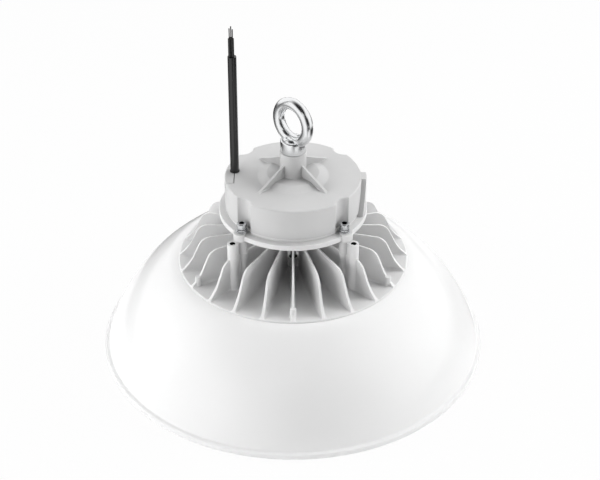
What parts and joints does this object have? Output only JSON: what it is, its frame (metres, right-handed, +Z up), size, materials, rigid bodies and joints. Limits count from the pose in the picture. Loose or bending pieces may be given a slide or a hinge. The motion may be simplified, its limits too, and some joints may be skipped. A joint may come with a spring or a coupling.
{
  "type": "high bay light",
  "caption": "Hanging industrial high bay light: a white spun bell reflector under a finned die-cast heat sink and a round driver housing with a polished lifting eye and a short black cord",
  "frame": {"origin": "centre of the reflector's rim, in the plane that the rim stands on", "axes": "+Z up along the axis of the light, from the mouth to the lifting eye; +X to the right as seen from the front, where the tapered lug is; -Y towards the front, where the lead rises from the heat sink"},
  "size_m": [0.42, 0.42, 0.3754],
  "materials": {
    "white_reflector": "smooth satin white paint on spun aluminium",
    "cast_powder": "fine-textured light grey powder coat on die-cast aluminium",
    "polished_chrome": "polished chrome plate on forged steel",
    "zinc_steel": "plain turned steel",
    "cord_rubber": "satin black rubber",
    "silicone": "soft pale silicone",
    "cover_glass": "clear tempered glass",
    "board_white": "white solder mask on an aluminium-core board",
    "led_phosphor": "yellow phosphor in white packages",
    "potted_pack": "black potting",
    "terminal_plastic": "pale moulded plastic",
    "core_plastic": "insulation of the cores",
    "bare_copper": "bare copper strands"
  },
  "bodies": {
    "root": {"reflector": "white_reflector", "heat_sink": "cast_powder", "driver_base": "cast_powder", "driver_housing": "cast_powder", "cord_grip": "cast_powder", "lens_ring": "cast_powder", "eye_bolt": "polished_chrome", "reflector_screws": "zinc_steel", "lens_ring_screws": "zinc_steel", "board_screws": "zinc_steel", "drum_screws": "zinc_steel", "mounting_screws": "zinc_steel", "flat_washers": "zinc_steel", "spring_washers": "zinc_steel", "cord_grip_screws": "zinc_steel", "cable_jacket": "cord_rubber", "cable_inner_end": "cord_rubber", "cable_bush": "cord_rubber", "heat_sink_grommet": "cord_rubber", "base_grommet": "cord_rubber", "led_lead": "cord_rubber", "lens_gasket": "silicone", "base_gasket": "silicone", "thermal_pad": "silicone", "glass_cover": "cover_glass", "led_board": "board_white", "led_chips": "led_phosphor", "led_driver": "potted_pack", "terminal_block": "terminal_plastic", "live_core": "core_plastic", "neutral_core": "core_plastic", "earth_core": "core_plastic", "mains_leads": "core_plastic", "driver_leads": "core_plastic", "live_wire": "bare_copper", "neutral_wire": "bare_copper", "earth_wire": "bare_copper"}
  },
  "joints": []
}
